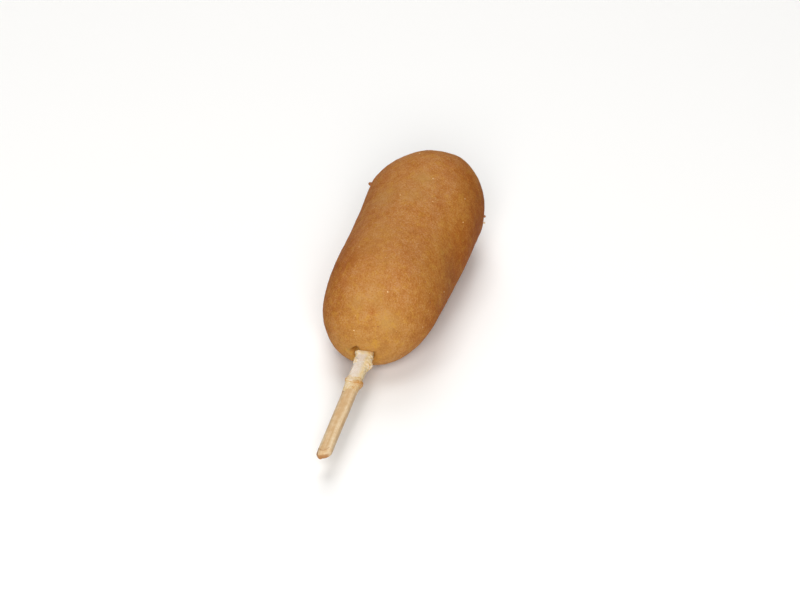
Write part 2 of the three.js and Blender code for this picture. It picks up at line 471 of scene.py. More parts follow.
@dataclass(frozen=True)
class FriedBatter:
    """Deep-fried cornmeal batter, browned unevenly by the hot oil.

    Browning takes away blue first, then green and little red, so thin browning is yellow and thick
    browning is a reddish brown. The meal mottles it at every size down to its own grains.

    Attributes:
        golden: The colour of evenly browned crust.
        takes: How strongly browning takes away red, green and blue.
        darkens: How strongly it takes away all three, once it is past `dark_from`.
        dark_from: Where that starts.
        thinnest: The browning of the palest crust, against the golden one.
        thickest: The browning of the darkest crust.
        stops: How many colours the scale between them has.
        rosy: The colour of the rosier crust.
        yellow: The colour of crust that is thin over pale batter.
        gold: The colour of bright yellow meal.
        toasting: What is left of the light where hot oil toasted the skin.
        hollow: The colour of the painted shade inside the hollows at the mouth and round the stick, over
            darker browned batter.
        patches: The broad patches of the mottling.
        patchiness: How strong they are.
        patchier: How much stronger they are near the mouth, as a share.
        meal: The coarser bits of meal.
        mealiness: How strongly they show.
        mealier: How much more strongly near the mouth, as a share.
        blotches: Where the crust is rosier or more golden.
        rosiness: How strong the rosy blotches are.
        gilding: How strong the golden ones are.
        pits: Small pits that bubbles left.
        bits: Pale bits of meal.
        grit: The meal's own grains.
        wrinkles: The finest wrinkles of the skin.
        wrinkling: How high they are beside the grains.
        pit_height: How high a pit is beside the grains.
        grit_depth: How deep the grains' relief is.
        relief_shown: How much of the relief shows.
        roughness: The sheen's mean roughness.
        rough_swing: How far it varies with the grains.
    """

    golden: str = "#AC6F39"
    takes: Triple = (0.17, 0.46, 1.0)
    darkens: float = 0.12
    dark_from: float = 0.2
    thinnest: float = -0.8
    thickest: float = 1.6
    stops: int = 9
    rosy: str = "#A5673C"
    yellow: str = "#B08648"
    gold: str = "#C19138"
    toasting: str = "#FFF9C4"
    hollow: str = "#8E5A1E"
    patches: Mottle = Mottle(5.0, 3.0, 0.8)
    patchiness: float = 1.32
    patchier: float = 0.7
    meal: Mottle = Mottle(0.55, 2.0, 0.9)
    mealiness: float = 1.95
    mealier: float = 0.5
    blotches: Mottle = Mottle(3.5, 4.0, 0.9)
    rosiness: float = -2.1
    gilding: float = 1.9
    pits: Specks = Specks(1.5, 0.24, 0.4, "#96581F", 0.55)
    bits: Specks = Specks(1.9, 0.2, 0.3, "#DDB679", 0.4)
    grit: Mottle = Mottle(0.32)
    wrinkles: Mottle = Mottle(1.28, 2.0, 0.7)
    wrinkling: float = 1.6
    pit_height: float = -0.6
    grit_depth: float = 0.15 * MM
    relief_shown: float = 0.9
    roughness: float = 0.66
    rough_swing: float = 0.3

    def browned(self, amount: float) -> Colour:
        """Browns the golden crust.

        Args:
            amount: How much more (+) or less (-) it is browned.

        Returns:
            The crust's linear colour.
        """
        darker = math.exp(-self.darkens * max(0.0, amount - self.dark_from))
        parts = zip(linear(self.golden), self.takes)
        red, green, blue = (part * darker * math.exp(-amount * take) for part, take in parts)
        return red, green, blue, 1.0

    def material(self) -> bpy.types.Material:
        """Builds the material from painted browning and mottling at the meal's real sizes.

        Returns:
            The material.
        """
        # The fried skin is dry to the eye: hardly any sheen, and a little light that seeps into it.
        look = Look(
            "fried_cornmeal_batter",
            IOR=1.45,
            Specular_IOR_Level=0.05,
            Subsurface_Weight=0.1,
            Subsurface_Radius=(1.0, 0.45, 0.2),
            Subsurface_Scale=0.6 * MM,
        )
        channels = (Paint.MEALY, Paint.BROWNING, Paint.ROSY, Paint.YELLOW, Paint.HOLLOW_SHADE)
        mealy, browning, rosy, yellow, hollow = (
            look.add("Attribute", {}, "Fac", attribute_name=channel.value) for channel in channels
        )
        patchiness = look.layered(self.patchiness, (mealy, self.patchier * self.patchiness))
        mealiness = look.layered(self.mealiness, (mealy, self.mealier * self.mealiness))
        layers = ((look.mottled(self.patches), patchiness), (look.mottled(self.meal), mealiness))
        places = [step / (self.stops - 1) for step in range(self.stops)]
        span = self.thickest - self.thinnest
        browns = {place: self.browned(self.thinnest + span * place) for place in places}
        colour = look.add("ValToRGB", {"Fac": look.layered(browning, *layers)}, "Color")
        fill_scale(colour.node.color_ramp, browns)
        # Some blotches are rosier and others golden, and toasting takes the blue out of the skin.
        blotches = look.mottled(self.blotches)
        blotches = look.layered(blotches, (blotches, mealy))
        pits, bits = look.specked(self.pits), look.specked(self.bits)
        colour = look.coated(
            colour,
            # The rosy tone also carries painted bounce light on the underside and a painted sheen on the far
            # cap.
            (look.layered(rosy, (blotches, self.rosiness)), self.rosy, "MIX"),
            (look.layered(0.0, (rosy, -1.0)), self.toasting, "MULTIPLY"),
            (yellow, self.yellow, "MIX"),
            (look.layered(0.0, (blotches, self.gilding)), self.gold, "MIX"),
            (look.layered(0.0, (pits, self.pits.strength)), self.pits.colour, "MIX"),
            (look.layered(0.0, (bits, self.bits.strength)), self.bits.colour, "MIX"),
            # Painted shade in the hollows and round the stick.
            (hollow, self.hollow, "MIX"),
        )
        look.feed("Base Color", colour)
        # The grains and the finest wrinkles are too small for the mesh, so they are a shallow bump.
        grit = look.mottled(self.grit)
        look.feed("Roughness", look.layered(self.roughness, (grit, self.rough_swing)))
        wrinkles = look.mottled(self.wrinkles)
        height = look.layered(grit, (wrinkles, self.wrinkling), (pits, self.pit_height))
        inputs = {"Height": height, "Distance": self.grit_depth, "Strength": self.relief_shown}
        look.feed("Normal", look.add("Bump", inputs, "Normal"))
        return look.material


@dataclass(frozen=True)
class MilledBirch:
    """Milled birch: fine straight grain, and darker where the end was cut.

    Attributes:
        pale: The lightest wood.
        tan: The common tone.
        streak: The darkest streaks.
        cut_end: Cut end grain, which took up fat.
        stretch: The factor on lengths along the grain: the less it is, the longer the streaks.
        streaks: The widest streaks.
        streakiness: How strong they are.
        clouds: The cloudy tone under them.
        cloudiness: How strong it is.
        fibres: The finest streaks.
        fibrousness: How strong they are.
        lightening: How much a pale place lightens the wood; some of it is painted light on the right side
            and a painted highlight on the top.
        vessels: The wood's pores.
        grain_depth: How deep the grain's relief is.
        relief_shown: How much of the relief shows.
        roughness: Its roughness.
    """

    pale: str = "#D6C09C"
    tan: str = "#BE9969"
    streak: str = "#B08B58"
    cut_end: str = "#9E6C38"
    stretch: float = 0.045
    streaks: Mottle = Mottle(1.35, 1.0)
    streakiness: float = 0.3
    clouds: Mottle = Mottle(1.8, 3.0, 0.7)
    cloudiness: float = 0.5
    fibres: Mottle = Mottle(0.45, 3.0)
    fibrousness: float = 0.5
    lightening: float = -0.27
    # Real vessels are some 0.1 mm wide, too fine to show, so these are drawn about twice as wide.
    vessels: Specks = Specks(0.5, 0.09, 0.3, "#9C7646", 0.35)
    grain_depth: float = 0.03 * MM
    relief_shown: float = 0.7
    roughness: float = 0.62

    def material(self, along: Matrix) -> bpy.types.Material:
        """Builds the material with its grain along the stick.

        Args:
            along: The stick's own frame.

        Returns:
            The material.
        """
        # Planed, unvarnished wood: pale tan and matt, with streaks that run along the stick.
        look = Look("milled_birch", IOR=1.48, Roughness=self.roughness)
        back = along.inverted()
        inputs = {"Vector": look.where, "Location": back.translation, "Rotation": back.to_euler()}
        turned = look.add("Mapping", inputs)
        stretched = look.add("Mapping", {"Vector": turned, "Scale": (self.stretch, 1.0, 1.0)})
        end_grain, pale = (
            look.add("Attribute", {}, "Fac", attribute_name=channel.value)
            for channel in (Paint.END_GRAIN, Paint.PALE)
        )
        fibres = look.mottled(self.fibres, stretched)
        streaks = look.layered(
            MIDDLE,
            (look.mottled(self.clouds, turned), self.cloudiness),
            (look.mottled(self.streaks, stretched), self.streakiness),
            (fibres, self.fibrousness),
            (pale, self.lightening),
        )
        colour = look.add("ValToRGB", {"Fac": streaks}, "Color")
        fill_scale(colour.node.color_ramp, {0.15: self.pale, MIDDLE: self.tan, 0.9: self.streak})
        vessels = look.layered(0.0, (look.specked(self.vessels, stretched), self.vessels.strength))
        colour = look.coated(
            colour, (vessels, self.vessels.colour, "MIX"), (end_grain, self.cut_end, "MIX")
        )
        look.feed("Base Color", colour)
        inputs = {"Height": fibres, "Distance": self.grain_depth, "Strength": self.relief_shown}
        look.feed("Normal", look.add("Bump", inputs, "Normal"))
        return look.material


@dataclass(frozen=True)
class DriedBatter:
    """Thin batter dried on wood: off-white where it is a film, gold where it is thick.

    Attributes:
        name: The material's name.
        chalk: The colour of its driest grains.
        film: The colour of the thin film.
        crumb: The colour of thicker, uncooked crumbs.
        tan: The colour of lightly browned batter.
        browned: The colour of the most browned batter.
        blush: The pinkish tone that comes through in spots.
        spots: Those spots.
        spottiness: How soon a spot is at its full strength.
        blushing: How strong that is.
        grit: The meal's grains.
        grittiness: How strongly they change its tone.
        lumps: The small lumps of the batter.
        lumpiness: How high they are beside the grains.
        grit_depth: How deep the grains' relief is.
        relief_shown: How much of the relief shows.
        roughness: Its roughness.
    """

    name: str
    chalk: str = "#DCD2C7"
    film: str = "#D1C2B1"
    crumb: str = "#D4BF92"
    tan: str = "#C6A168"
    browned: str = "#B57E36"
    blush: str = "#CFAF9B"
    spots: Mottle = Mottle(0.6)
    spottiness: float = 3.0
    blushing: float = 0.5
    grit: Mottle = Mottle(0.3, 2.0, 0.7)
    grittiness: float = 0.75
    lumps: Mottle = Mottle(0.9, 1.0)
    lumpiness: float = 1.5
    grit_depth: float = 0.06 * MM
    relief_shown: float = 0.8
    roughness: float = 0.72

    def material(self) -> bpy.types.Material:
        """Builds the material from its painted thickness and a fine grit.

        Returns:
            The material.
        """
        # Dried batter is chalky: matt, soft in the light, and uneven from grain to grain.
        look = Look(
            self.name,
            IOR=1.45,
            Roughness=self.roughness,
            Subsurface_Weight=0.12,
            Subsurface_Radius=(1.0, 0.7, 0.5),
            Subsurface_Scale=0.5 * MM,
        )
        gold = look.add("Attribute", {}, "Fac", attribute_name=Paint.GOLD.value)
        grit, lumps = look.mottled(self.grit), look.mottled(self.lumps)
        gold = look.layered(gold, (grit, self.grittiness), (lumps, self.grittiness / 2))
        stops = {0.0: self.chalk, 0.15: self.film, 0.45: self.crumb, 0.7: self.tan, 1.0: self.browned}
        spots = look.layered(0.0, (look.mottled(self.spots), self.spottiness))
        spots = look.layered(0.0, (look.add("Clamp", {"Value": spots}), self.blushing))
        colour = look.add("ValToRGB", {"Fac": gold}, "Color")
        fill_scale(colour.node.color_ramp, stops)
        look.feed("Base Color", look.coated(colour, (spots, self.blush, "MIX")))
        height = look.layered(grit, (lumps, self.lumpiness))
        inputs = {"Height": height, "Distance": self.grit_depth, "Strength": self.relief_shown}
        look.feed("Normal", look.add("Bump", inputs, "Normal"))
        return look.material


@dataclass(frozen=True)
class FriedMeal:
    """Loose bits of fried meal.

    Attributes:
        name: The material's name.
        colour: The colour of a bit.
        shade: The tone that its darker places take on.
        places: Those places.
        swing: How far the shade varies.
        mean: How strong it is on the whole.
        roughness: Its roughness.
    """

    name: str
    colour: str
    shade: str = "#8A5426"
    places: Mottle = Mottle(0.5)
    swing: float = 0.4
    mean: float = 0.2
    roughness: float = 0.7

    def material(self) -> bpy.types.Material:
        """Builds the material.

        Returns:
            The material.
        """
        # A crisp crumb is nearly matt, with small darker places where it browned more.
        look = Look(self.name, IOR=1.45, Roughness=self.roughness)
        shade = look.layered(self.mean, (look.mottled(self.places), self.swing))
        look.feed("Base Color", look.coated(self.colour, (shade, self.shade, "MULTIPLY")))
        return look.material


@dataclass(frozen=True)
class StudioFloor:
    """Matt white-painted board.

    Attributes:
        paint: Its colour.
        roughness: Its roughness.
    """

    paint: str = "#F4F3F1"
    roughness: float = 0.8

    def material(self) -> bpy.types.Material:
        """Builds the material. Smooth and even, it takes nothing but soft shadows."""
        return Look("white_board", Base_Color=self.paint, Roughness=self.roughness).material


# --------------------------------------------------------------------------------------------------
# The stick's own frame
# --------------------------------------------------------------------------------------------------


@dataclass(frozen=True)
class StickLine:
    """Where the stick lies, and the shape of its section.

    In its frame X runs inwards along the stick, Y to its left and Z out of its top face.

    Attributes:
        mouth: Where it comes out of the batter.
        pitch: How far its outer end points down.
        yaw: How far its outer end points to the right.
        width: Its width.
        thickness: Its thickness.
        edge: The radius of its rounded edges.
        showing: How much of it is out of the batter.
        buried: How much of it is inside.
    """

    mouth: Triple = (NEAR_TIP + 0.2 * MM, 0.82 * MM, 12.8 * MM)
    pitch: float = math.radians(3)
    yaw: float = math.radians(0.3)
    width: float = 4.7 * MM
    thickness: float = 3.1 * MM
    edge: float = 1.0 * MM
    showing: float = 53.0 * MM
    buried: float = 61.0 * MM

    @property
    def matrix(self) -> Matrix:
        """From the stick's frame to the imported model's."""
        turn = Matrix.Rotation(-self.yaw, 4, "Z") @ Matrix.Rotation(-self.pitch, 4, "Y")
        return Matrix.Translation(self.mouth) @ turn

    @property
    def flats(self) -> tuple[float, float]:
        """The straight stretches of its section, along its width and its thickness."""
        return self.width - 2 * self.edge, self.thickness - 2 * self.edge

    @property
    def girth(self) -> float:
        """How far it is round its section."""
        return 2 * sum(self.flats) + CIRCLE * self.edge

    def to_stick(self, points: np.ndarray) -> np.ndarray:
        """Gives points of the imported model's frame in the stick's own."""
        return (points - np.array(self.mouth)) @ np.array(self.matrix.to_3x3())

    def to_model(self, points: np.ndarray) -> np.ndarray:
        """Gives points of the stick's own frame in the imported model's."""
        return points @ np.array(self.matrix.to_3x3()).T + np.array(self.mouth)

    def section(self, share: np.ndarray) -> tuple[np.ndarray, np.ndarray]:
        """Walks round the stick's rounded oblong section.

        Args:
            share: How far round, from 0 to 1. It starts at the middle of the left side and goes up.

        Returns:
            Points on the surface and the outward directions there, as (y, z) rows.
        """
        wide, tall = self.flats
        corner = CIRCLE / 4 * self.edge
        points = np.zeros((len(share), 2))
        directions = np.zeros((len(share), 2))
        rest = ((share % 1) * self.girth + tall / 2) % self.girth
        start = np.array([wide, -tall]) / 2
        for quarter in range(4):
            flat = (tall, wide)[quarter % 2]
            angle = quarter * CIRCLE / 4
            facing = np.array([math.cos(angle), math.sin(angle)])
            onwards = np.array([-facing[1], facing[0]])
            on_flat = (rest >= 0) & (rest < flat)
            points[on_flat] = start + rest[on_flat, None] * onwards + self.edge * facing
            directions[on_flat] = facing
            start = start + flat * onwards
            on_corner = (rest >= flat) & (rest < flat + corner)
            turned = angle + (rest[on_corner] - flat) / self.edge
            directions[on_corner] = np.stack([np.cos(turned), np.sin(turned)], 1)
            points[on_corner] = start + self.edge * directions[on_corner]
            rest = rest - flat - corner
        return points, directions


LINE = StickLine()


# --------------------------------------------------------------------------------------------------
# Fried batter
# --------------------------------------------------------------------------------------------------


@dataclass(frozen=True)
class Patch:
    """A patch of crust painted browner or paler than what is round it: mostly uneven browning, and in places
    a painted highlight.

    Attributes:
        at_mm: Its middle.
        reach_mm: Its reach.
        browning: How much browner (+) or paler (-) it is painted.
        yellow: How much yellower (+) it is painted.
    """

    at_mm: Triple
    reach_mm: float
    browning: float
    yellow: float = 0.0


@dataclass(frozen=True)
class Hollow:
    """A hollow at the mouth, where the batter shrank back from the stick.

    Attributes:
        across_mm: How far left of the stick's middle it is.
        up_mm: How far above the stick's middle it is.
        long_mm: Half its longer size, seen along the stick.
        wide_mm: Half its shorter size.
        lean_degrees: The angle of its longer size, from the stick's left towards its top.
        depth_mm: How much deeper it is than the face round it.
        shade: How much painted shade darkens its inside, from 0 to 1.
    """

    across_mm: float
    up_mm: float
    long_mm: float
    wide_mm: float
    lean_degrees: float
    depth_mm: float
    shade: float

    def share(self, local: np.ndarray) -> np.ndarray:
        """Finds how deep inside the hollow points are.

        Args:
            local: The points in the stick's frame, one a row.

        Returns:
            A share for each, from 0 outside to 1 inside.
        """
        lean = math.radians(self.lean_degrees)
        away = local[:, 1:] / MM - np.array([self.across_mm, self.up_mm])
        along = away @ np.array([math.cos(lean), math.sin(lean)]) / self.long_mm
        beside = away @ np.array([-math.sin(lean), math.cos(lean)]) / self.wide_mm
        return np.exp(-(along**4) - beside**4) * ease_mm(-local[:, 0], -6, -3)


@dataclass(frozen=True)
class Swell:
    """A place where the roll is a little fuller (+) or flatter (-).

    Attributes:
        at_mm: Its middle.
        reach_mm: Its reach.
        rise_mm: Its height.
    """

    at_mm: Triple
    reach_mm: float
    rise_mm: float


# How strongly each zone of the crust takes part in each painted tone. The shaded flank and the left side are
# browned partly as painted shade, the underside is paler and rosier as painted bounce light from the floor,
# and the far cap is paler and rosier as a painted sheen.
BROWNED_BY = {
    "shaded_flank": 0.56,
    "near_left": 0.04,
    "left": 0.13,
    "far_left": 0.04,
    "under": -0.1,
    "far_cap_sheen": -0.1,
}
YELLOWED_BY = {"mealy": 0.45, "plain": 0.12, "far_cap_sheen": 0.12}
BLUSHED_BY = {"near_left": 0.4, "upper_left": 0.1}
REDDENED_BY = {"blushed": 1.0, "toasted": -0.7, "under": 0.85, "far_cap_sheen": 0.5, "mealy": -0.5}

# Patches of uneven browning; some of the paler, yellower ones on the top are painted highlights.
PATCHES = (
    Patch((34.0, -3.0, 39.0), 5.5, -0.1),
    Patch((32.0, 3.5, 39.0), 5.0, -0.07),
    Patch((29.0, 13.0, 34.0), 5.0, -0.06),
    Patch((52.0, -2.0, 39.5), 3.5, -0.08),
    Patch((49.0, -5.5, 39.0), 3.0, 0.1),
    Patch((54.0, -17.5, 30.0), 5.0, 0.16),
    Patch((35.0, -18.5, 28.0), 3.0, -0.12),
    Patch((24.5, -13.0, 34.0), 4.0, 0.05),
    Patch((2.0, -8.5, 36.5), 6.0, -0.04),
    Patch((-4.0, 9.5, 35.5), 7.5, 0.24),
    Patch((-16.0, 12.5, 25.0), 4.5, 0.13),
    # A painted highlight: a pale yellow hot spot on the top.
    Patch((44.2, -1.7, 39.4), 3.5, -0.12, 0.5),
    Patch((34.9, 9.2, 36.7), 6.0, -0.1, 0.2),
    Patch((-4.6, -0.7, 37.9), 4.0, -0.12, 0.2),
    Patch((-12.7, 1.2, 34.7), 4.0, -0.05, 0.2),
    Patch((33.8, -1.5, 39.4), 4.0, -0.03, 0.3),
    Patch((-1.7, -14.0, 31.8), 3.5, -0.08),
    Patch((1.6, 5.3, 38.3), 3.0, -0.07, 0.15),
    Patch((10.0, 3.5, 38.8), 6.0, 0.0, 0.2),
    Patch((-19.4, -1.5, 28.1), 1.6, 0.08),
    Patch((-19.4, 6.6, 27.4), 2.0, 0.08),
    Patch((60.4, -10.7, 35.7), 6.0, 0.09, -0.3),
    Patch((7.8, 15.5, 32.0), 5.0, 0.1),
    Patch((-19.8, 12.0, 21.8), 4.0, 0.06),
    Patch((7.2, -18.7, 23.6), 4.5, -0.08),
    Patch((36.5, -20.0, 23.5), 5.0, -0.07),
    Patch((15.9, -13.4, 33.0), 4.0, 0.05),
    Patch((-16.8, -1.6, 31.2), 3.0, 0.0, 0.3),
    Patch((-18.0, 5.0, 30.0), 3.0, 0.0, 0.3),
    Patch((-19.1, -6.9, 24.8), 4.0, 0.0, 0.35),
    Patch((-22.8, 6.2, 13.1), 1.3, -0.1, 0.5),
    Patch((-16.3, -11.9, 21.2), 3.0, 0.12),
    Patch((67.0, -9.0, 33.5), 5.0, 0.15),
    Patch((4.0, -18.5, 24.0), 3.0, -0.1),
    Patch((-15.0, -2.5, 32.5), 6.5, -0.12),
    Patch((-18.5, 3.0, 29.5), 4.0, -0.05),
    Patch((-16.6, -5.9, 29.4), 1.8, 0.2, 0.1),
    Patch((-16.8, -8.0, 27.4), 1.3, 0.24),
    Patch((-19.6, -0.6, 28.1), 1.0, 0.2, -0.3),
    Patch((-20.5, -4.7, 25.0), 1.4, -0.12, 0.2),
    Patch((-19.3, -4.9, 26.2), 2.0, -0.12),
    Patch((-19.5, 11.5, 23.5), 4.0, 0.05),
    Patch((-22.0, -2.0, 19.5), 6.0, -0.04),
    Patch((37.0, -8.7, 37.6), 0.7, 0.35),
    Patch((59.1, -5.3, 38.5), 4.0, -0.1),
    Patch((57.1, 2.7, 39.3), 2.5, 0.1),
    Patch((35.0, -19.5, 25.0), 4.0, -0.13),
    Patch((3.1, -18.3, 24.3), 4.0, -0.1),
    Patch((10.2, 17.0, 30.4), 6.0, 0.15),
    Patch((-2.5, 16.7, 30.1), 6.0, 0.1),
    Patch((56.5, -14.4, 33.5), 5.5, 0.14),
    Patch((-15.0, 15.7, 23.5), 3.5, -0.1),
    Patch((36.0, -20.0, 17.0), 4.0, -0.15),
)


@dataclass
class Crust:
    """The roll of fried batter, with its mouth round the stick.

    Attributes:
        voxel: The spacing of the fine mesh.
        smoothing: How often the fine mesh is evened out.
        held: How much of that the small forms at the mouth get.
        relief: The layers of low lumps.
        pores: How many small pits there are.
        pore_reach_mm: The least and the greatest radius of a pit.
        pore_depth_mm: The least and the greatest depth of a pit.
        seed: Where the pits' random draws start.
        face_start: How far inside the mouth the face round the stick starts.
        face_lean: How the face leans, to the left and upwards.
        face_radius: How round it is.
        hollows: The hollows beside the stick.
        swells: Where the roll is a little fuller or flatter.
        patches: Where the crust is painted browner or paler: uneven browning, and in places painted
            highlights.
        base_browning: How browned the rest of it is.
        browning_drift: How that drifts along the roll.
        rosy_drift: How its rosiness drifts.
        axis_start: Where the middle line of the roll's straight part starts.
        axis_end: Where it ends.
        axis_y: How far left it is.
        axis_z: How high it is.
        radius: The roll's radius.
    """

    voxel: float = 0.435 * MM
    smoothing: int = 31
    held: float = 0.12
    relief: tuple[Unevenness, ...] = (
        Unevenness(11, 0.09 * MM, (3.1, 0.0, 7.7)),
        Unevenness(4.2, 0.07 * MM, (9.3, 4.0, 1.2)),
        Unevenness(1.6, 0.055 * MM, (0.6, 8.1, 5.5)),
    )
    pores: int = 320
    pore_reach_mm: tuple[float, float] = (0.45, 1.0)
    pore_depth_mm: tuple[float, float] = (0.03, 0.12)
    seed: int = 11
    face_start: float = 0.22 * MM
    face_lean: tuple[float, float] = (0.11, 0.2)
    face_radius: float = 15.7 * MM
    hollows: tuple[Hollow, ...] = (
        Hollow(3.9, 1.4, 1.9, 0.75, 132, 1.2, 1.0),
        Hollow(4.0, -0.4, 1.7, 0.6, 100, 0.4, 0.5),
        Hollow(-2.85, 0.1, 1.8, 0.4, 95, 0.3, 0.8),
    )
    swells: tuple[Swell, ...] = (
        Swell((-21.5, -6.5, 7.0), 3.5, 0.4),
        Swell((-22.8, -1.6, 15.0), 1.6, 0.35),
        Swell((54.5, 18.0, 29.0), 2.5, 0.25),
        Swell((30.0, -20.0, 17.0), 9.0, 0.3),
        Swell((69.2, -8.8, 32.2), 4.0, 0.35),
        Swell((69.2, -1.0, 34.3), 4.5, -0.2),
        Swell((54.0, -19.6, 14.5), 3.0, 0.3),
    )
    patches: tuple[Patch, ...] = PATCHES
    base_browning: float = 0.36
    browning_drift: Unevenness = Unevenness(14, 0.06, (5.2, 1.9, 3.3))
    rosy_drift: Unevenness = Unevenness(10, 0.15, (1.7, 6.1, 2.9))
    axis_start: float = -3.5 * MM
    axis_end: float = 54.5 * MM
    axis_y: float = 0.4 * MM
    axis_z: float = 19.5 * MM
    radius: float = 20 * MM

    def build(self) -> bpy.types.Object:
        """Models the roll and hands it over.

        Returns:
            The finished piece.
        """
        piece = copy_of_node("batter_crust", "crust")
        finish_with(piece, "REMESH", mode="VOXEL", voxel_size=self.voxel)
        self.even_out(piece)
        self.add_relief(piece)
        self.brown(piece)
        hand_over(piece, FriedBatter().material(), "batter_crust")
        return piece

    def from_stick(self, points: np.ndarray) -> np.ndarray:
        """Measures how far points are from the stick's skin.

        Args:
            points: The points, one a row.

        Returns:
            Their distances.
        """
        local = LINE.to_stick(points)
        past = np.maximum(local[:, 0] - LINE.buried, 0)
        across = np.maximum(np.abs(local[:, 1]) - LINE.width / 2, 0)
        upright = np.maximum(np.abs(local[:, 2]) - LINE.thickness / 2, 0)
        return np.sqrt(past**2 + across**2 + upright**2)

    def even_out(self, piece: bpy.types.Object) -> None:
        """Rounds off the facets, and less so where the mouth has small forms.

        Args:
            piece: The crust.
        """
        free = ease_mm(self.from_stick(points_of(piece)), 2, 6)
        group = piece.vertex_groups.new(name="open_skin")
        for index, weight in enumerate(self.held + (1 - self.held) * free):
            group.add([index], float(weight), "REPLACE")
        finish_with(piece, "SMOOTH", factor=0.5, iterations=self.smoothing, vertex_group=group.name)
        piece.vertex_groups.clear()

    def pore_places(self) -> list[Vector]:
        """Spreads points evenly over a capsule about the size of the roll.

        Returns:
            The points.
        """
        draw = random.Random(self.seed)
        straight = (self.axis_end - self.axis_start) / 2
        middle = (self.axis_end + self.axis_start) / 2
        places = []
        for _ in range(self.pores):
            along = draw.uniform(-straight - self.radius, straight + self.radius)
            turn = draw.uniform(0, CIRCLE)
            into_cap = max(abs(along) - straight, 0)
            across = math.sqrt(max(self.radius**2 - into_cap**2, 0))
            left, up = across * math.cos(turn), across * math.sin(turn)
            places.append(Vector((middle + along, self.axis_y + left, self.axis_z + up)))
        return places

    def lumps(self, points: np.ndarray) -> np.ndarray:
        """How far the low lumps and small pits of the frying stand out.

        Args:
            points: The crust's vertices.

        Returns:
            A height for each of them.
        """
        height = sum(layer.over(points) for layer in self.relief)
        tree = KDTree(len(points))
        for index, point in enumerate(points):
            tree.insert(point, index)
        tree.balance()
        draw = random.Random(self.seed + 1)
        for place in self.pore_places():
            centre = tree.find(place)[0]
            reach = draw.uniform(*self.pore_reach_mm) * MM
            depth = draw.uniform(*self.pore_depth_mm) * MM
            for _, index, distance in tree.find_range(centre, reach):
                height[index] -= depth * (1 - (distance / reach) ** 2) ** 2
        return height

    def fit_face(self, points: np.ndarray) -> np.ndarray:
        """Closes the gap round the stick with a domed face, and sinks the hollows in it.

        Args:
            points: The crust's vertices.

        Returns:
            Their new places.
        """
        local = LINE.to_stick(points)
        beside = self.from_stick(points)
        face = self.face_start + (local[:, 1] ** 2 + local[:, 2] ** 2) / (2 * self.face_radius)
        face -= local[:, 1:] @ np.array(self.face_lean)
        too_deep = np.clip(local[:, 0] - face, 0, 4 * MM)
        local[:, 0] -= ease_mm(beside, 0.1, 0.3) * (1 - ease_mm(beside, 2.4, 3.2)) * too_deep
        for hollow in self.hollows:
            local[:, 0] += hollow.depth_mm * MM * hollow.share(local)
        return LINE.to_model(local)

    def add_relief(self, piece: bpy.types.Object) -> None:
        """Adds what frying leaves on the skin and at the mouth, and keeps the rest spot flat.

        Args:
            piece: The crust.
        """
        points = points_of(piece)
        rise = self.lumps(points) * ease_mm(self.from_stick(points), 0.4, 2.5)
        for swell in self.swells:
            rise += swell.rise_mm * MM * hump_at(points, swell.at_mm, swell.reach_mm)
        points = self.fit_face(points + normals_of(piece) * rise[:, None])
        points[:, 2] = np.maximum(points[:, 2], 0)
        move_points(piece, points)

    def zones(self, points: np.ndarray, normals: np.ndarray) -> dict[str, np.ndarray]:
        """Finds the parts of the crust that are painted each in their own way: browning, painted shade,
        painted bounce light and a painted sheen.

        Args:
            points: The crust's vertices.
            normals: The outward directions there.

        Returns:
            For each zone's name, how far each vertex is in it, from 0 to 1.
        """
        along, left = points[:, 0], points[:, 1]
        low_right = 0.5 * (self.axis_z - points[:, 2]) - left
        past_near_cap, far_half = ease_mm(along, -20, 2), ease_mm(along, 15, 40)
        on_left = ease_mm(left, 7, 15)
        # Downward faces are painted paler and rosier: painted bounce light from the white floor.
        under = ease(-normals[:, 2], 0.25, 0.65)
        # The lower right flank is painted browner: partly real browning, partly painted shade on that side
        # of the roll.
        shaded_flank = ease_mm(low_right, 7, 21) * past_near_cap * (0.7 + 0.3 * far_half)
        near_left = ease_mm(left, 8, 17) * (1 - ease_mm(along, 22, 38))
        toasted = np.maximum(ease_mm(low_right, 2, 8) * past_near_cap, 0.6 * ease_mm(left, 11, 17))
        mouth_mm = tuple(part / MM for part in LINE.mouth)
        return {
            "shaded_flank": shaded_flank,
            "near_left": near_left,
            # The left side is painted browner, partly as painted shade towards that edge.
            "left": ease_mm(left, 10, 19),
            "far_left": on_left * far_half,
            "upper_left": ease_mm(left, 6, 18) * far_half,
            "plain": (1 - shaded_flank) * (1 - on_left) * (1 - near_left),
            "under": under,
            "toasted": toasted * (1 - under),
            # The far cap is painted paler and rosier: a painted sheen at its rim.
            "far_cap_sheen": ease(normals[:, 0], 0.35, 0.7),
            "mealy": hump_at(points, mouth_mm, 16),
            "beside_mouth": hump_at(points, mouth_mm, 14),
        }

    def brown(self, piece: bpy.types.Object) -> None:
        """Paints where the crust browned more or less, with painted shade on its sides, in the hollows and
        round the stick, painted bounce light underneath and a painted sheen on the far cap.

        Args:
            piece: The crust.
        """
        points = points_of(piece)
        zones = self.zones(points, normals_of(piece))
        browning = self.base_browning + weighed(BROWNED_BY, **zones) + self.browning_drift.over(points)
        yellow = weighed(YELLOWED_BY, **zones)
        for patch in self.patches:
            near = hump_at(points, patch.at_mm, patch.reach_mm)
            browning += patch.browning * near
            yellow += patch.yellow * near
        blushed = weighed(BLUSHED_BY, **zones) + self.rosy_drift.over(points)
        blushed *= (1 - zones["beside_mouth"]) * (1 - zones["toasted"])
        local = LINE.to_stick(points)
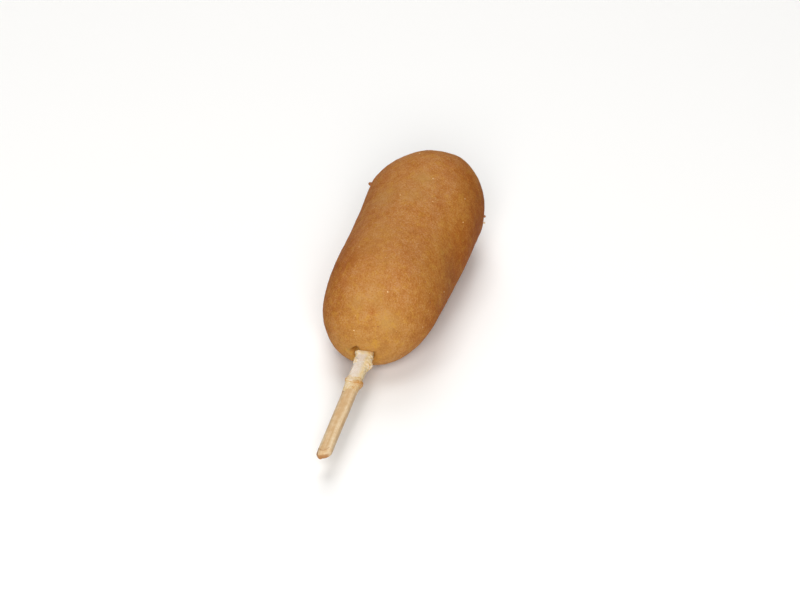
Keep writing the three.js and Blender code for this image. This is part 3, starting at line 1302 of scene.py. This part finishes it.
        # Painted shade darkens the crust inside the mouth next to the stick and in the hollows, over batter
        # that is a little darker browned.
        painted_shade = 0.4 * ease_mm(local[:, 0], 0.3, 1.5) * (self.from_stick(points) < 1.5 * MM)
        for hollow in self.hollows:
            painted_shade = np.maximum(painted_shade, hollow.shade * hollow.share(local))
        paint(piece, Paint.BROWNING, browning)
        paint(piece, Paint.MEALY, zones["mealy"])
        paint(piece, Paint.YELLOW, yellow)
        paint(piece, Paint.ROSY, weighed(REDDENED_BY, blushed=blushed, **zones))
        paint(piece, Paint.HOLLOW_SHADE, painted_shade)


# --------------------------------------------------------------------------------------------------
# Stick
# --------------------------------------------------------------------------------------------------

# How strongly each zone of the stick shows end grain, and how much paler each is. The right side face is
# painted paler as painted light, and the band along the right of the top is partly a paler stripe of the
# wood, partly a painted highlight.
END_GRAIN_BY = {"cut": 0.85, "line": 0.95, "slope": 0.15, "sides": 0.25, "corner": 0.45, "lower": 0.25}
PALER_BY = {"right_band": 0.7, "band_across": 0.2, "right_side": 0.45, "outwards": 0.2, "left_side": 0.6}


@dataclass
class Stick:
    """The flat stick, rounded along its edges and at its ends.

    Attributes:
        corners: Radii of the end's corners, seen from above, on the left and on the right.
        skew: How much shorter its right side is than its left at the outer end.
        voxel: The spacing of the fine mesh.
        smoothing: How often the fine mesh is evened out.
        slope_start: How far from the outer end the top starts to slope down.
        slope_curve: How strongly the line where it starts is curved.
        slope_length: How soon the slope is at its full drop.
        slope_drop: How far the top drops there.
        ripple: The wave that planing left in its faces.
        furrows: The finer relief of the grain.
        furrow_stretch: The factor on lengths along the grain: the less it is, the longer the furrows.
    """

    corners: tuple[float, float] = (1.9 * MM, 2.3 * MM)
    skew: float = 1.5 * MM
    voxel: float = 0.22 * MM
    smoothing: int = 3
    slope_start: float = 1.7 * MM
    slope_curve: float = 0.6 / MM
    slope_length: float = 1.5 * MM
    slope_drop: float = 0.5 * MM
    ripple: Unevenness = Unevenness(9, 0.05 * MM, (2.0, 7.0, 4.0))
    furrows: Unevenness = Unevenness(0.8, 0.02 * MM, (6.0, 1.0, 3.0))
    furrow_stretch: float = 0.12

    def build(self) -> bpy.types.Object:
        """Models the stick and hands it over.

        Returns:
            The finished piece.
        """
        deselect()
        length = LINE.showing + LINE.buried
        bpy.ops.mesh.primitive_cube_add(size=1, location=((LINE.buried - LINE.showing) / 2, 0, 0))
        bpy.context.object.scale = (length, LINE.width, LINE.thickness)
        piece = start_piece("stick")
        side_wall = LINE.width / 2 - TINY
        for side, radius in zip((1, -1), self.corners):
            self.bevel(piece, lambda a, b: self.upright(a, b) and side * a.y > side_wall, radius, 8)
        self.bevel(piece, lambda a, b: abs(a.z - b.z) < TINY, LINE.edge, 5)
        self.skew_end(piece)
        finish_with(piece, "REMESH", mode="VOXEL", voxel_size=self.voxel)
        finish_with(piece, "SMOOTH", factor=0.5, iterations=self.smoothing)
        self.slope_tip(piece)
        self.wear(piece)
        move_points(piece, LINE.to_model(points_of(piece)))
        hand_over(piece, MilledBirch().material(LINE.matrix), "wooden_stick")
        return piece

    def bevel(
        self, piece: bpy.types.Object, wanted: Callable[[Vector, Vector], bool], radius: float, segments: int
    ) -> None:
        """Rounds some of a piece's edges.

        Args:
            piece: The piece.
            wanted: Tells from an edge's two ends whether it is rounded.
            radius: The radius.
            segments: How many faces go round it.
        """
        pick(piece)
        mesh = piece.data
        for part in (mesh.vertices, mesh.edges, mesh.polygons):
            part.foreach_set("select", [False] * len(part))
        for edge in mesh.edges:
            a, b = (mesh.vertices[i].co for i in edge.vertices)
            edge.select = wanted(a, b)
        bpy.ops.object.mode_set(mode="EDIT")
        bpy.ops.mesh.select_mode(type="EDGE")
        bpy.ops.mesh.bevel(offset=radius, segments=segments)
        bpy.ops.object.mode_set(mode="OBJECT")

    def upright(self, a: Vector, b: Vector) -> bool:
        """Tells whether an edge goes from the bottom face to the top one."""
        return abs(a.z - b.z) > LINE.thickness / 2

    def skew_end(self, piece: bpy.types.Object) -> None:
        """Cuts the outer end a little askew.

        Args:
            piece: The stick.
        """
        points = points_of(piece)
        end = points[:, 0] < LINE.width - LINE.showing
        points[end, 0] += self.skew * (0.5 - points[end, 1] / LINE.width)
        move_points(piece, points)

    def before_slope(self, points: np.ndarray) -> np.ndarray:
        """How far points are before the curved line where the tip's top starts to slope down."""
        aside = np.minimum(np.abs(points[:, 1] - 0.5 * MM), 1.8 * MM)
        return points[:, 0] + LINE.showing - self.slope_start - self.slope_curve * aside**2

    def slope_tip(self, piece: bpy.types.Object) -> None:
        """Slopes the top down towards the outer end, where the stick was tumbled.

        Args:
            piece: The stick.
        """
        points = points_of(piece)
        sloped = ease(-self.before_slope(points), 0, self.slope_length)
        points[:, 2] -= self.slope_drop * ease_mm(points[:, 2], -0.6, 0.9) * sloped
        move_points(piece, points)

    def wear(self, piece: bpy.types.Object) -> None:
        """Gives the planed faces a slight ripple along the grain, and paints the stick, with painted light
        on its right side and a painted highlight along the top's right edge.

        Args:
            piece: The stick.
        """
        points, normals = points_of(piece), normals_of(piece)
        stretched = points * np.array([self.furrow_stretch, 1.0, 1.0])
        ripple = self.ripple.over(points) + self.furrows.over(stretched)
        move_points(piece, points + normals * ripple[:, None])
        (x, y, z), (_, facing_left, facing_up) = points.T, normals.T
        endways, sideways = np.abs(normals[:, 0]), np.hypot(normals[:, 0], facing_left)
        before, to_end = self.before_slope(points), -x - LINE.showing
        on_top = ease(facing_up, 0.4, 0.7)
        round_end = ease_mm(to_end, -2.6, -1.3) * ease(sideways, 0.6, 0.85)
        end_grain = weighed(
            END_GRAIN_BY,
            cut=np.maximum(ease(endways, 0.6, 0.85), round_end) * (1 - ease_mm(z, 0.2, 0.8)),
            line=hump(before - 0.15 * MM, 0.2 * MM) * on_top * ease_mm(y, -1.7, -1.2),
            slope=ease_mm(-before, 0, 0.3) * on_top,
            sides=ease(np.abs(facing_left), 0.85, 0.98),
            corner=ease_mm(y, 1.5, 2.1) * ease_mm(to_end, -4, -3),
            lower=ease_mm(-z, -0.4, 1.2) * ease(endways, 0.4, 0.7),
        )
        paint(piece, Paint.END_GRAIN, np.minimum(end_grain, 1))
        paler = weighed(
            PALER_BY,
            # Partly a paler stripe of the wood, partly a painted highlight along the right edge of the top.
            right_band=hump(y + 1.5 * MM, 0.6 * MM) * ease(facing_up, 0.3, 0.8),
            band_across=hump(x + 46 * MM, 3.5 * MM),
            # The right side face, in shade, is painted paler: painted light.
            right_side=ease(-facing_left, 0.3, 0.8),
            outwards=ease_mm(-x, 24, 42),
            left_side=ease(facing_left, 0.2, 0.6),
        )
        paint(piece, Paint.PALE, paler)


# --------------------------------------------------------------------------------------------------
# Dried batter on the stick
# --------------------------------------------------------------------------------------------------

# How golden each zone of the film and of the ring is.
FILM_GOLD = {"right": 0.32, "stripe": 0.12, "heap": 0.1, "collar": 0.28, "left_collar": 0.15}
RING_GOLD = {
    "right": 0.3,
    "past_line": 0.12,
    "right_bead": 0.3,
    "far_right_bead": 0.3,
    "line": 0.6,
    "left_edge": 0.35,
    "left_bead": 1.0,
}


@dataclass(frozen=True)
class Clot:
    """A crumb of batter on the stick.

    Attributes:
        out_mm: How far out along the stick it is.
        turn: Where it is round the stick, as a share of the way round.
        reach_mm: Its radius.
        rise_mm: Its height.
        gold: How golden it is, from 0 to 1.
    """

    out_mm: float
    turn: float
    reach_mm: float
    rise_mm: float
    gold: float


@dataclass
class Coat:
    """A closed coat of batter round the stick.

    Attributes:
        name: The piece's name.
        node: The node that it stands for.
        slot: Its material slot. It is not used.
        start: How far out it starts.
        end: How far out it ends.
        sides: How many steps go round it.
        steps: How many steps go along its outside.
        inner_steps: How many go back along its inside.
        under: How far its inside lies in the wood.
    """

    name: str
    node: str
    slot: Slot
    start: float
    end: float
    sides: int = 140
    steps: int = 110
    inner_steps: int = 14
    under: float = 0.16 * MM

    def build(self, finish: DriedBatter) -> bpy.types.Object:
        """Models the coat and hands it over.

        Args:
            finish: Its material.

        Returns:
            The finished piece.
        """
        deselect()
        loop_steps = self.steps + self.inner_steps
        bpy.ops.mesh.primitive_torus_add(
            major_segments=self.sides, minor_segments=loop_steps, major_radius=2, minor_radius=1
        )
        piece = start_piece(self.name)
        x, y, z = points_of(piece).T
        share = (np.arctan2(y, x) / CIRCLE) % 1
        loop = (np.arctan2(z, np.hypot(x, y) - 2) / CIRCLE) % 1
        step = np.rint(loop * loop_steps).astype(int) % loop_steps
        outside = step <= self.steps
        way = np.where(outside, step / self.steps, 1 - (step - self.steps) / self.inner_steps)
        out = self.start + (self.end - self.start) * way
        surface, facing = LINE.section(share)
        wall, gold = self.wall(out, share)
        across = surface + facing * np.where(outside, wall, -self.under)[:, None]
        move_points(piece, LINE.to_model(np.column_stack([-out, across])))
        paint(piece, Paint.GOLD, gold)
        pick(piece)
        bpy.ops.object.mode_set(mode="EDIT")
        bpy.ops.mesh.select_all(action="SELECT")
        bpy.ops.mesh.normals_make_consistent(inside=False)
        bpy.ops.object.mode_set(mode="OBJECT")
        hand_over(piece, finish.material(), self.node)
        return piece

    def wall(self, out: np.ndarray, share: np.ndarray) -> tuple[np.ndarray, np.ndarray]:
        """The coat's thickness and how golden it is.

        Args:
            out: How far out along the stick each point is.
            share: How far round the stick each point is.

        Returns:
            Thickness in metres and gold from 0 to 1, for each point.
        """
        raise NotImplementedError


@dataclass
class Residue(Coat):
    """The pale, crumbly film between the crust and the ring, heaped up on its right side.

    Attributes:
        film: How thick the film is on the stick's top.
        collar: How much thicker it is where it meets the crust.
        heap_rise: The height of the heap on the right side.
        heap_out: How far out the heap is highest.
        heap_inner: How far it reaches towards the crust.
        heap_outer: How far it reaches outwards.
        heap_turn: Where it is round the stick, as a share of the way round.
        heap_spread: How far round it reaches, as a share.
        left_turn: Where the bumps on the left edge are, as a share of the way round.
        stripe_turn: Where a golden stripe runs out along the film.
        base_gold: How golden the rest is.
        crumbs: How many crumbs cling to the film.
        on_heap: The share of them that are on the heap.
        on_left: The share of them that are on the left edge.
        seed: Where their random draws start.
    """

    name: str = "residue"
    node: str = "batter_residue"
    slot: Slot = Slot.RESIDUE
    start: float = -1.2 * MM
    end: float = 13.6 * MM
    steps: int = 170
    film: float = 0.07 * MM
    collar: float = 0.2 * MM
    heap_rise: float = 1.1 * MM
    heap_out: float = 4.5 * MM
    heap_inner: float = 1.7 * MM
    heap_outer: float = 1.9 * MM
    heap_turn: float = 0.52
    heap_spread: float = 0.09
    left_turn: float = 0.08
    stripe_turn: float = 0.37
    base_gold: float = 0.13
    crumbs: int = 230
    on_heap: float = 0.55
    on_left: float = 0.23
    seed: int = 5

    def scatter(self) -> list[Clot]:
        """Draws the crumbs that cling to the film: on the heap, on the left edge, and a few anywhere.

        Returns:
            The crumbs.
        """
        draw = random.Random(self.seed)
        clots = []
        for _ in range(self.crumbs):
            kind = draw.random()
            if kind < self.on_heap:
                out_mm, turn = draw.gauss(3.8, 1.6), draw.gauss(self.heap_turn - 0.03, 0.06)
                reach_mm, gold = draw.uniform(0.15, 0.36), draw.uniform(0.1, 0.8)
            elif kind < self.on_heap + self.on_left:
                out_mm, turn = draw.uniform(0.4, 6.0), draw.gauss(self.left_turn, 0.035)
                reach_mm, gold = draw.uniform(0.15, 0.36), draw.uniform(0.15, 0.65)
            else:
                out_mm, turn = draw.uniform(0.5, 13.0), draw.random()
                reach_mm, gold = draw.uniform(0.1, 0.22), draw.uniform(0.0, 0.4)
            clots.append(Clot(out_mm, turn, reach_mm, reach_mm * draw.uniform(0.6, 1.1), gold))
        return clots

    def wall(self, out: np.ndarray, share: np.ndarray) -> tuple[np.ndarray, np.ndarray]:
        """The film's thickness and how golden it is, with the crumbs that cling to it.

        Args:
            out: How far out along the stick each point is.
            share: How far round the stick each point is.

        Returns:
            Thickness in metres and gold from 0 to 1, for each point.
        """
        turn = CIRCLE * share
        reach = np.where(out < self.heap_out, self.heap_inner, self.heap_outer)
        from_heap = turn_between(turn, CIRCLE * self.heap_turn) / CIRCLE
        heap = hump(from_heap, self.heap_spread) * hump(out - self.heap_out, reach)
        on_left = hump(turn_between(turn, CIRCLE * self.left_turn), 0.45)
        ragged = 0.5 * MM * np.sin(3 * turn + 0.8) + 0.25 * MM * np.sin(8 * turn)
        collar = 1 - ease_mm(out + ragged, 0.2, 2.2)
        bumps = 0.6 * MM * hump(out - 0.9 * MM, 0.9 * MM) + 0.3 * MM * hump(out - 4.7 * MM, 0.9 * MM)
        ends = ease(out, self.start, self.start + 0.3 * MM) * (1 - ease(out, self.end - 0.5 * MM, self.end))
        wall = (self.film + self.collar * collar + self.heap_rise * heap + bumps * on_left) * ends
        gold = self.base_gold + weighed(
            FILM_GOLD,
            right=ease(-np.cos(turn), -0.1, 0.9),
            stripe=hump(turn_between(turn, CIRCLE * self.stripe_turn) / CIRCLE, 0.022),
            heap=heap,
            collar=collar,
            left_collar=on_left * collar,
        )
        return self.with_crumbs(out, share, wall, gold)

    def with_crumbs(
        self, out: np.ndarray, share: np.ndarray, wall: np.ndarray, gold: np.ndarray
    ) -> tuple[np.ndarray, np.ndarray]:
        """Adds the crumbs to the film.

        Args:
            out: How far out along the stick each point is.
            share: How far round the stick each point is.
            wall: The film's thickness without them.
            gold: How golden it is without them.

        Returns:
            Thickness and gold with them.
        """
        lump = np.zeros(len(out))
        for clot in self.scatter():
            beside = turn_between(CIRCLE * share, CIRCLE * clot.turn) / CIRCLE * LINE.girth
            away = np.hypot(out - clot.out_mm * MM, beside) / (clot.reach_mm * MM)
            near = np.clip(1 - away**2, 0, 1)
            lump = np.maximum(lump, clot.rise_mm * MM * np.sqrt(near))
            gold = gold + (clot.gold - gold) * np.minimum(2 * near, 1)
        return wall + lump, gold


@dataclass
class Ring(Coat):
    """The bead of browned batter round the stick, and the thin smear that ran on from it.

    Attributes:
        smear: The thickness of the smear.
        sunk: How far its outside sinks into the wood where it runs out.
        rises: The bead's height on the stick's left, top, right and underside.
        bead_out: How far out the bead is on the sides.
        bead_lag: How much further out it is on the top.
        left_lead: How much nearer the crust it is on the left.
        bead_inner: How far the bead reaches towards the crust.
        bead_outer: How far it reaches outwards.
        base_gold: How golden the smear is.
        last_gold: How golden it is where it runs out on the wood.
    """

    name: str = "ring"
    node: str = "batter_ring"
    slot: Slot = Slot.RING
    start: float = 12.3 * MM
    end: float = 21.0 * MM
    smear: float = 0.06 * MM
    sunk: float = 0.1 * MM
    rises: tuple[float, float, float, float] = (0.6 * MM, 0.22 * MM, 0.75 * MM, 0.45 * MM)
    bead_out: float = 14.4 * MM
    bead_lag: float = 1.3 * MM
    left_lead: float = 1.0 * MM
    bead_inner: float = 1.1 * MM
    bead_outer: float = 1.7 * MM
    base_gold: float = 0.27
    last_gold: float = 0.58

    def wall(self, out: np.ndarray, share: np.ndarray) -> tuple[np.ndarray, np.ndarray]:
        """The ring's thickness and how golden it is.

        Args:
            out: How far out along the stick each point is.
            share: How far round the stick each point is.

        Returns:
            Thickness in metres and gold from 0 to 1, for each point.
        """
        turn = CIRCLE * share
        side, top = np.cos(turn), np.sin(turn)
        left, above, right, under = (np.maximum(0, part) ** 2 for part in (side, top, -side, -top))
        rise = sum(part * height for part, height in zip((left, above, right, under), self.rises))
        away = out - self.bead_out - self.bead_lag * np.maximum(0, top) - 0.2 * MM * np.sin(3 * turn + 0.6)
        off_ridge = away + self.left_lead * left
        ridge = hump(off_ridge, np.where(off_ridge < 0, self.bead_inner, self.bead_outer))
        ends = ease(out, self.start, self.start + 0.6 * MM) * (1 - ease(out, self.end - 2.5 * MM, self.end))
        wall = (self.smear + rise * ridge) * ends - self.sunk * (1 - ends)
        to_right, far_right = ease(-side, -0.3, 0.5), ease(-side, 0.75, 1.0)
        past_line = ease_mm(away, 0.8, 1.2)
        left_edge = hump(turn_between(turn, 0.25), 0.35) * (1 - past_line)
        gold = self.base_gold + weighed(
            RING_GOLD,
            right=to_right,
            past_line=past_line,
            right_bead=to_right * hump(away - 0.2 * MM, 0.6 * MM),
            far_right_bead=far_right * ridge,
            line=hump(away - 0.85 * MM, 0.16 * MM) * ease(-side, -1.0, -0.5) * (1 - far_right),
            left_edge=left_edge,
            left_bead=left_edge * ridge,
        )
        gold += (self.last_gold - gold) * ease_mm(out, 18.3, 20.2)
        return wall, gold


# --------------------------------------------------------------------------------------------------
# Crumbs
# --------------------------------------------------------------------------------------------------


@dataclass(frozen=True)
class Grain:
    """One crumb that sits on the crust.

    Attributes:
        at_mm: A point on or near the crust.
        size_mm: Its three half sizes: two along the crust, and its height.
        turn: How it is turned on the crust.
    """

    at_mm: Triple
    size_mm: Triple
    turn: float = 0.0


@dataclass
class Grains:
    """Loose crumbs or meal flecks of one kind, half sunk in the crust.

    Attributes:
        name: The piece's name.
        colour: Their colour.
        named: The ones with a place of their own.
        scattered: How many others there are.
        half_size_mm: The least and the greatest half size of those.
        flatness: Their height as a share of that.
        seed: Where their random draws start.
        lowest: None of those lies lower than this.
        lumpiness: How far a grain's surface departs from an egg's, with lumps nearly as big as the grain.
    """

    name: str
    colour: str
    named: tuple[Grain, ...]
    scattered: int
    half_size_mm: tuple[float, float]
    flatness: float
    seed: int
    lowest: float = 4 * MM
    lumpiness: float = 0.22

    def build(self, crust: bpy.types.Object, places: list[Vector]) -> bpy.types.Object:
        """Models the grains on the crust and hands them over as one piece.

        Args:
            crust: The finished crust.
            places: Where scattered grains may go.

        Returns:
            The finished piece.
        """
        mesh = crust.data
        surface = BVHTree.FromPolygons([v.co for v in mesh.vertices], [p.vertices for p in mesh.polygons])
        draw = random.Random(self.seed)
        grains = list(self.named)
        above = [place for place in places if place.z > self.lowest]
        for place in draw.sample(above, self.scattered):
            half = draw.uniform(*self.half_size_mm)
            size_mm = (half, half * draw.uniform(0.6, 1.0), half * self.flatness)
            grains.append(Grain(tuple(place / MM), size_mm, draw.uniform(0, math.pi)))
        made = [self.one(surface, here, number) for number, here in enumerate(grains)]
        deselect()
        for part in made:
            part.select_set(True)
        bpy.context.view_layer.objects.active = made[0]
        bpy.ops.object.join()
        piece = bpy.context.object
        piece.name = piece.data.name = self.name
        hand_over(piece, FriedMeal(f"{self.name}_meal", self.colour).material())
        return piece

    def one(self, surface: BVHTree, here: Grain, number: int) -> bpy.types.Object:
        """Models one grain as a lumpy pebble on the crust.

        Args:
            surface: The crust's faces.
            here: The grain.
            number: Its number, which picks its own lumps.

        Returns:
            The grain as an object of its own.
        """
        deselect()
        bpy.ops.mesh.primitive_ico_sphere_add(subdivisions=2, radius=1)
        part = start_piece(f"{self.name}_{number}")
        points = points_of(part)
        # The ball has a radius of 1 m until it is scaled, so its lumps are 0.9 m wide.
        points *= 1 + Unevenness(900, self.lumpiness, (number, 2.0, 5.0)).over(points)[:, None]
        points *= np.array(here.size_mm) * MM
        spot, normal, _, _ = surface.find_nearest(Vector(here.at_mm) * MM)
        turn = normal.to_track_quat("Z", "Y").to_matrix() @ Matrix.Rotation(here.turn, 3, "Z")
        move_points(part, points @ np.array(turn).T + np.array(spot))
        return part


CRUMBS = (
    Grain((51.9, 18.7, 28.5), (0.8, 0.7, 1.0)),
    Grain((50.5, 18.2, 29.2), (0.45, 0.4, 0.4)),
    Grain((56.5, -20.3, 18.6), (0.5, 0.42, 0.65)),
)
FLECK_SIZE_MM = (0.27, 0.2, 0.1)
FLECK_PLACES_MM = (
    (33.4, 3.5, 38.9),
    (-22.5, 4.8, 21.7),
    (59.7, 3.4, 38.6),
    (45.5, -4.9, 39.0),
    (35.6, -17.9, 29.8),
    (-13.7, -4.4, 32.9),
    (5.3, -18.9, 22.2),
    (45.2, -16.2, 32.8),
)
FLECKS = (
    *(Grain(place, FLECK_SIZE_MM) for place in FLECK_PLACES_MM),
    Grain((54.7, -20.5, 17.2), (0.3, 0.2, 0.8)),
)


# --------------------------------------------------------------------------------------------------
# Studio
# --------------------------------------------------------------------------------------------------


@dataclass(frozen=True)
class Softbox:
    """A square soft light.

    Attributes:
        name: The light's name.
        at: Where it stands. It faces the frame's origin.
        size: The length of its side.
        watts: Its power.
    """

    name: str
    at: Triple
    size: float
    watts: float


@dataclass
class Studio:
    """The pale floor, the soft lights and the camera.

    Attributes:
        target: What the camera looks at.
        distance: How far away it is.
        azimuth: How far round it stands, from -Y towards +X.
        elevation: How far above the floor it looks from.
        lens_mm: Its focal length.
        sensor_mm: Its sensor's width.
        floor_size: The length of the floor's side.
        ambient: The colour of the light from all round.
        ambient_strength: Its strength.
        lights: The soft lights.
    """

    target: Triple = (1.033 * MM, -4.792 * MM, 19.3 * MM)
    distance: float = 1355 * MM
    azimuth: float = math.radians(-75.528)
    elevation: float = math.radians(36)
    lens_mm: float = 182.7
    sensor_mm: float = 36
    floor_size: float = 8.0
    ambient: str = "#FFFFFF"
    ambient_strength: float = 0.06
    lights: tuple[Softbox, ...] = (
        Softbox("key", (-1.18, -0.3, 0.88), 0.8, 23.0),
        Softbox("top", (0.0, 0.1, 1.5), 0.8, 7.6),
        Softbox("rim", (0.9, 0.3, 1.1), 0.8, 7.5),
    )

    def build(self) -> None:
        """Sets the whole studio up."""
        self.set_camera()
        self.lay_floor()
        self.set_lights()

    def set_camera(self) -> None:
        """Makes the camera and aims it."""
        level = math.cos(self.elevation)
        east, north = math.sin(self.azimuth) * level, -math.cos(self.azimuth) * level
        back = Vector((east, north, math.sin(self.elevation)))
        data = bpy.data.cameras.new("camera")
        data.lens = self.lens_mm
        data.sensor_width = self.sensor_mm
        camera = bpy.data.objects.new("camera", data)
        camera.location = Vector(self.target) + self.distance * back
        camera.rotation_euler = (-back).to_track_quat("-Z", "Y").to_euler()
        bpy.context.scene.collection.objects.link(camera)
        bpy.context.scene.camera = camera

    def lay_floor(self) -> None:
        """Lays the floor under the corn dog."""
        deselect()
        bpy.ops.mesh.primitive_plane_add(size=self.floor_size)
        floor = start_piece("floor")
        floor.data.materials.append(StudioFloor().material())

    def set_lights(self) -> None:
        """Hangs the soft lights and lights the room."""
        for box in self.lights:
            data = bpy.data.lights.new(box.name, "AREA")
            data.size = box.size
            data.energy = box.watts
            light = bpy.data.objects.new(box.name, data)
            light.location = box.at
            light.rotation_euler = (-Vector(box.at)).to_track_quat("-Z", "Y").to_euler()
            bpy.context.scene.collection.objects.link(light)
        world = bpy.data.worlds.new("room")
        world.use_nodes = True
        background = world.node_tree.nodes["Background"]
        background.inputs["Color"].default_value = linear(self.ambient)
        background.inputs["Strength"].default_value = self.ambient_strength
        bpy.context.scene.world = world
        bpy.context.scene.view_settings.view_transform = "Standard"


def main() -> None:
    """Builds the pieces in order."""
    logging.basicConfig(level=logging.INFO, format="%(name)s: %(message)s")
    roll = Crust()
    crust = roll.build()
    Stick().build()
    Residue().build(DriedBatter("dried_batter_film"))
    bead = DriedBatter(
        "browned_batter_bead", film="#D6C4AE", crumb="#D0B98A", tan="#C59E6A", grittiness=1.4, blushing=0.4
    )
    Ring().build(bead)
    places = roll.pore_places()
    crumbs = Grains(
        "crumbs", "#A0622C", CRUMBS, scattered=22, half_size_mm=(0.16, 0.34), flatness=0.7, seed=21
    )
    crumbs.build(crust, places)
    flecks = Grains(
        "flecks", "#EBCB93", FLECKS, scattered=20, half_size_mm=(0.1, 0.2), flatness=0.4, seed=22
    )
    flecks.build(crust, places)
    Studio().build()


if __name__ == "__main__":
    main()
